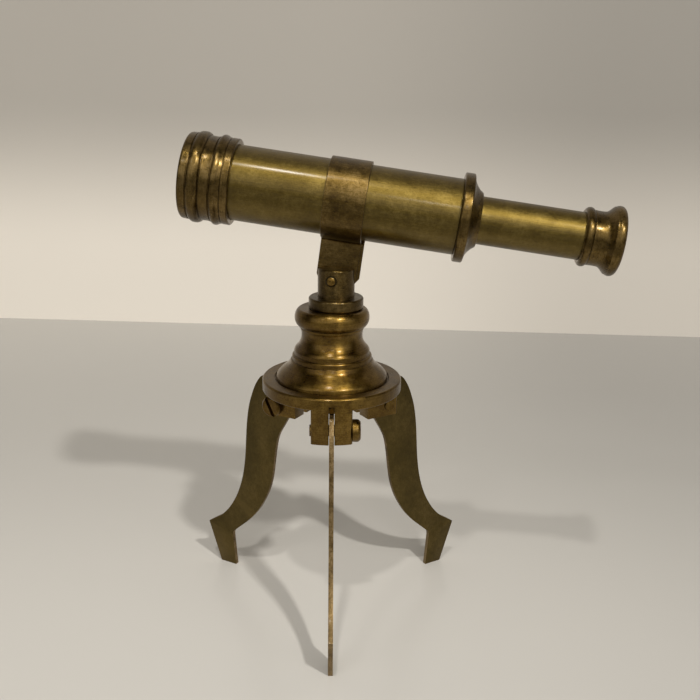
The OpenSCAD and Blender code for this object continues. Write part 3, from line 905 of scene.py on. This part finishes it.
def lug_solid(material):
    """One lug: two cheeks and the bridge over the leg's slot."""
    radius, centre = 7.45, 12.2
    outline = [(8.4, LUG_SLOT / 2), (8.4, LUG_W / 2)]
    for i in range(25):
        y = LUG_W / 2 + (LUG_SLOT - LUG_W) / 2 * i / 24
        rim = math.sqrt((FLANGE_R - 0.01) ** 2 - y * y)
        outline.append((min(centre + math.sqrt(radius**2 - y * y), rim), y))
    top = FLANGE_Z + 1
    cheeks = [slab(outline, FLANGE_Z - LUG_H, top, "cheek", material, 0.22, 3)]
    cheeks.append(slab([(x, -y) for x, y in outline], FLANGE_Z - LUG_H, top, "cheek", material, 0.22, 3))
    half = LUG_SLOT / 2 + 0.2
    cheeks.append(block((8.6, -half, HINGE_Z + SLOT_ROOF), (16.9, half, top), material))
    return joined(cheeks, "lug")


def turned_head(sizes, material):
    line = eased(shifted(COLUMN_PROFILE, FLANGE_Z), sizes.corner, True)
    head = turned(line, "head_post", material, AT_COLUMN @ UPRIGHT, sizes.facets)
    lugs = set_round(lug_solid(material), "lugs", material)
    head = carved(head, lugs, "UNION", "head_with_lugs")
    half = LUG_SLOT / 2
    notch = block((FLANGE_R - NOTCH_DEPTH, -half, FLANGE_Z - 2), (FLANGE_R + 2, half, FLANGE_Z + 1.2), material)
    notches = set_round(notch, "notches", material)
    return tidied(carved(head, notches, "DIFFERENCE", "head_notched"), 30)


def sawn_leg(sizes, material):
    """A leg plate in its own plane, X outwards and Y up."""

    def by_pivot(x, z):
        return (HINGE_R + x, HINGE_Z + z)

    def by_span(u, v):
        return (HINGE_R + u * (HEEL_R - HINGE_R), v * HINGE_Z)

    outer = [by_pivot(*p) for p in ((0, 5), (3.2, 5), (4.8, 5.5), (6.1, 6), (7.5, 5.6), (9.3, 2.9))]
    outer += [
        by_span(*p)
        for p in (
            (0.392, 0.99), (0.43, 0.924), (0.458, 0.835), (0.473, 0.746), (0.487, 0.657), (0.513, 0.568),
            (0.554, 0.488), (0.619, 0.408), (0.711, 0.334), (0.813, 0.279), (0.9, 0.25), (1, 0.217),
        )
    ]
    inner = [
        by_span(*p)
        for p in (
            (0.68, 0.172), (0.672, 0.192), (0.63, 0.213), (0.484, 0.277), (0.37, 0.338), (0.282, 0.402),
            (0.209, 0.473), (0.158, 0.551), (0.128, 0.64), (0.103, 0.728), (0.066, 0.803), (-0.022, 0.881),
        )
    ]
    heel = ((-2.9, -2.9), (-4.1, -1.3), (-4.4, 0.8), (-3.8, 2.8), (-2.3, 4.3), (-0.8, 4.9))
    inner += [by_pivot(*p) for p in heel]
    outline = smooth(outer, 5) + [by_span(0.843, 0), by_span(0.648, 0)] + smooth(inner, 5)
    hole = arc(HINGE_R, HINGE_Z, 1.55, 1.55, 0, 345, 23)
    plate = slab(outline, -LEG_T / 2, LEG_T / 2, "leg_plate", material, sizes.plate_edge, 3, hole)
    plate.materials.append(finish("sawn_edge"))
    for face in plate.polygons:
        face.material_index = int(abs(face.normal.z) < 0.5)
    return plate


def cheese_screw(material):
    """A slotted screw through the lug, head on the leg's Y side, in the frame of a leg pointing along X."""
    end, seat = -LUG_W / 2 - 0.4, LUG_W / 2
    top = seat + SCREW_HEAD_H
    profile = [(end, 0), (end, SCREW_R), (seat, SCREW_R), (seat, SCREW_HEAD_R), (top - 0.65, SCREW_HEAD_R)]
    profile += [(top, SCREW_HEAD_R - 0.6), (top, 0)]
    hinge = Matrix.Translation((HINGE_R, 0, HINGE_Z))
    across = hinge @ Matrix.Rotation(math.pi / 2, 4, "Z")
    screw = turned(eased(profile, 0.15), "screw", material, across, 96)
    slot = block((-4, -DRIVER_HALF, seat + 1.1), (4, DRIVER_HALF, seat + 3), material)
    slant = Matrix.Rotation(math.radians(DRIVER_TURN), 4, "Z")
    slot.transform(hinge @ Matrix.Rotation(-math.pi / 2, 4, "X") @ slant)
    return carved(screw, slot, "DIFFERENCE", "screw_slotted")


# ---- stage ----
WALL_LEFT, WALL_RIGHT = Vector((-0.2114, 0.3106, 0)), Vector((0.1894, 0.2778, 0))
CAMERA_AT = Vector((-0.01705, -0.22409, 0.14487))
CAMERA_YAW, CAMERA_PITCH, CAMERA_ROLL = 1.168, 17.018, 0.63
CAMERA_LENS, SENSOR = 47.57, 36.0
# light from all round, from the window in front, and how dark the painted shade makes the sheets to the right and the
# painted shadow makes them up close
ROOM_LIGHT, WINDOW_LIGHT, RIGHT_PAINTED_SHADE, NEAR_PAINTED_SHADOW = 0.085, 1.2, 0.76, 0.4
# name, azimuth and elevation of the light seen from the object, distance, size, power, warmth
LIGHTS = (
    ("key_right", 30, 46, 1.5, 0.07, 11.5, (1.0, 0.97, 0.92)),
    ("key_left", -12, 66, 1.5, 0.06, 4.8, (1.0, 0.97, 0.92)),
    ("fill_front", 2, 38, 1.5, 0.08, 0.7, (1.0, 0.97, 0.93)),
    ("fill_left", -36, 44, 1.5, 0.08, 0.8, (1.0, 0.97, 0.93)),
    ("overhead", 0, 84, 1.6, 1.0, 0.8, (1.0, 0.97, 0.93)),
)


def stage_finish(name, tint, rough, axis, start, end, fade, painted_glow):
    """A painted sheet, slightly uneven, darkened by painted shade along one axis and to the right and by a painted
    shadow up close, with a little painted glow.
    """
    material, bench = new_finish(name)
    where = bench.add("ShaderNodeTexCoord", out=3)
    cloud = bench.add("ShaderNodeTexNoise", Vector=where, Scale=6.0, Detail=4.0)
    # painted shade: each sheet darkens along its axis, the table towards the back and the wall towards the top
    along = bench.add("ShaderNodeSeparateXYZ", where, out=axis)
    share = bench.fade(along, start, end, 0.0, 1.0)
    share = bench.math("ADD", share, bench.math("MULTIPLY", bench.math("SUBTRACT", cloud, 0.5), 0.15))
    tint = colour([255 * v for v in tint])
    low = [c * fade for c in tint[:3]] + [1.0]
    shade = ramp(bench, share, [(0.0, tint), (1.0, low)])
    x, y, _ = bench.add("ShaderNodeSeparateXYZ", where, out=None).outputs
    # painted shade darkens the sheets to the right, and a painted shadow darkens them up close
    side = bench.fade(x, -0.03, 0.14, 1.0, RIGHT_PAINTED_SHADE)
    near = bench.fade(y, -0.04, -0.17, 1.0, NEAR_PAINTED_SHADOW)
    side = bench.math("MULTIPLY", side, near)
    shade = bench.vector_math("MULTIPLY", shade, bench.add("ShaderNodeCombineXYZ", side, side, side))
    sheen = bench.add("ShaderNodeMapRange", cloud, 0.3, 0.7, rough, rough + 0.08)
    # the emission is a painted glow on the sheet, set for the wall
    shader = bench.add(
        "ShaderNodeBsdfPrincipled", Base_Color=shade, Roughness=sheen, Emission_Color=shade, Emission_Strength=painted_glow
    )
    bench.add("ShaderNodeOutputMaterial", shader, out=None)
    return material


def lay_table(sizes, tones):
    along = (WALL_RIGHT - WALL_LEFT).normalized()
    across = Vector((-along.y, along.x, 0))
    middle = (WALL_LEFT + WALL_RIGHT) / 2
    half, near = sizes.table_width / 2, sizes.table_width
    corners = [middle - along * half - across * near, middle + along * half - across * near]
    corners += [middle + along * half, middle - along * half]
    rise = Vector((0, 0, sizes.wall_height))
    upright = [corners[3], corners[2], corners[2] + rise, corners[3] + rise]
    # each sheet: its axis, the start and end of its painted shade, how dark that shade gets, and its painted glow
    for name, points, tint, rough, *fade in (
        ("table", corners, tones.table, 0.2, 1, -0.04, 0.2, 0.68, 0.0),
        ("wall", upright, tones.wall, 0.4, 2, 0.04, 0.13, 0.52, 0.3),
    ):
        mesh = bpy.data.meshes.new(name)
        mesh.from_pydata(points, [], [(0, 1, 2, 3)])
        mesh.materials.append(stage_finish(name + "_paint", tint, rough, *fade))
        sheet = bpy.data.objects.new(name, mesh)
        bpy.context.scene.collection.objects.link(sheet)


def hang_lights():
    aim = Vector((0, 0, 0.08))
    for name, azimuth, elevation, distance, size, power, warmth in LIGHTS:
        a, e = math.radians(azimuth), math.radians(elevation)
        towards = Vector((math.sin(a) * math.cos(e), -math.cos(a) * math.cos(e), math.sin(e)))
        light = bpy.data.lights.new(name, "AREA")
        light.size, light.energy, light.color = size, power, warmth
        lamp = bpy.data.objects.new(name, light)
        lamp.location = aim + towards * distance
        lamp.rotation_euler = towards.to_track_quat("Z", "Y").to_euler()
        bpy.context.scene.collection.objects.link(lamp)
    bpy.context.scene.world = room_light()


def room_light():
    """Soft light all round, brighter from the front and above, as by a wide window."""
    world = bpy.data.worlds.new("room")
    world.use_nodes = True
    bench = Bench(world.node_tree)
    towards = bench.add("ShaderNodeTexCoord", out=0)
    _, y, z = bench.add("ShaderNodeSeparateXYZ", towards, out=None).outputs
    risen = bench.fade(z, -0.06, 0.32, 0.0, 1.0)
    fronting = bench.fade(y, -0.1, -0.6, 0.0, 1.0)
    below_lintel = bench.fade(z, 0.5, 0.9, 1.0, 0.0)
    window = bench.math("MULTIPLY", risen, fronting)
    window = bench.math("MULTIPLY", window, bench.math("MULTIPLY", below_lintel, WINDOW_LIGHT))
    background = world.node_tree.nodes["Background"]
    background.inputs["Color"].default_value = (0.86, 0.84, 0.8, 1)
    world.node_tree.links.new(bench.math("ADD", window, ROOM_LIGHT), background.inputs["Strength"])
    return world


def set_camera():
    yaw, pitch, roll = (math.radians(v) for v in (CAMERA_YAW, CAMERA_PITCH, CAMERA_ROLL))
    ahead = Vector((math.sin(yaw) * math.cos(pitch), math.cos(yaw) * math.cos(pitch), -math.sin(pitch)))
    level = Vector((math.cos(yaw), -math.sin(yaw), 0))
    upright = level.cross(ahead)
    right = level * math.cos(roll) + upright * math.sin(roll)
    above = upright * math.cos(roll) - level * math.sin(roll)
    lens = bpy.data.cameras.new("camera")
    lens.lens, lens.sensor_width, lens.clip_start = CAMERA_LENS, SENSOR, 0.01
    camera = bpy.data.objects.new("camera", lens)
    camera.matrix_world = Matrix.Translation(CAMERA_AT) @ Matrix((right, above, -ahead)).transposed().to_4x4()
    bpy.context.scene.collection.objects.link(camera)
    bpy.context.scene.camera = camera
    bpy.context.scene.view_settings.view_transform = "Standard"


OPERATORS = (
    SPYGLASS_OT_stage,
    SPYGLASS_OT_tubes,
    SPYGLASS_OT_rings,
    SPYGLASS_OT_lenses,
    SPYGLASS_OT_strap,
    SPYGLASS_OT_stem,
    SPYGLASS_OT_head,
    SPYGLASS_OT_legs,
    SPYGLASS_OT_leg_screws,
)


class SPYGLASS_PT_panel(bpy.types.Panel):
    """Buttons for each piece, and the sizes and colours they use"""

    bl_idname = "SPYGLASS_PT_panel"
    bl_label = "Spyglass"
    bl_space_type = "VIEW_3D"
    bl_region_type = "UI"
    bl_category = "Spyglass"

    def draw(self, context):
        for operator in OPERATORS:
            self.layout.operator(operator.bl_idname)
        for group in (context.scene.spyglass_sizes, context.scene.spyglass_colours):
            for key in group.bl_rna.properties.keys():
                if key not in ("rna_type", "name"):
                    self.layout.prop(group, key)


CLASSES = (SpyglassSizes, SpyglassColours, *OPERATORS, SPYGLASS_PT_panel)


def register():
    for item in CLASSES:
        bpy.utils.register_class(item)
    bpy.types.Scene.spyglass_sizes = bpy.props.PointerProperty(type=SpyglassSizes)
    bpy.types.Scene.spyglass_colours = bpy.props.PointerProperty(type=SpyglassColours)


def unregister():
    del bpy.types.Scene.spyglass_colours
    del bpy.types.Scene.spyglass_sizes
    for item in reversed(CLASSES):
        bpy.utils.unregister_class(item)


def main():
    register()
    for operator in OPERATORS:
        group, action = operator.bl_idname.split(".")
        if getattr(getattr(bpy.ops, group), action)() != {"FINISHED"}:
            raise RuntimeError(f"{operator.bl_label} was not finished")


if __name__ == "__main__":
    main()
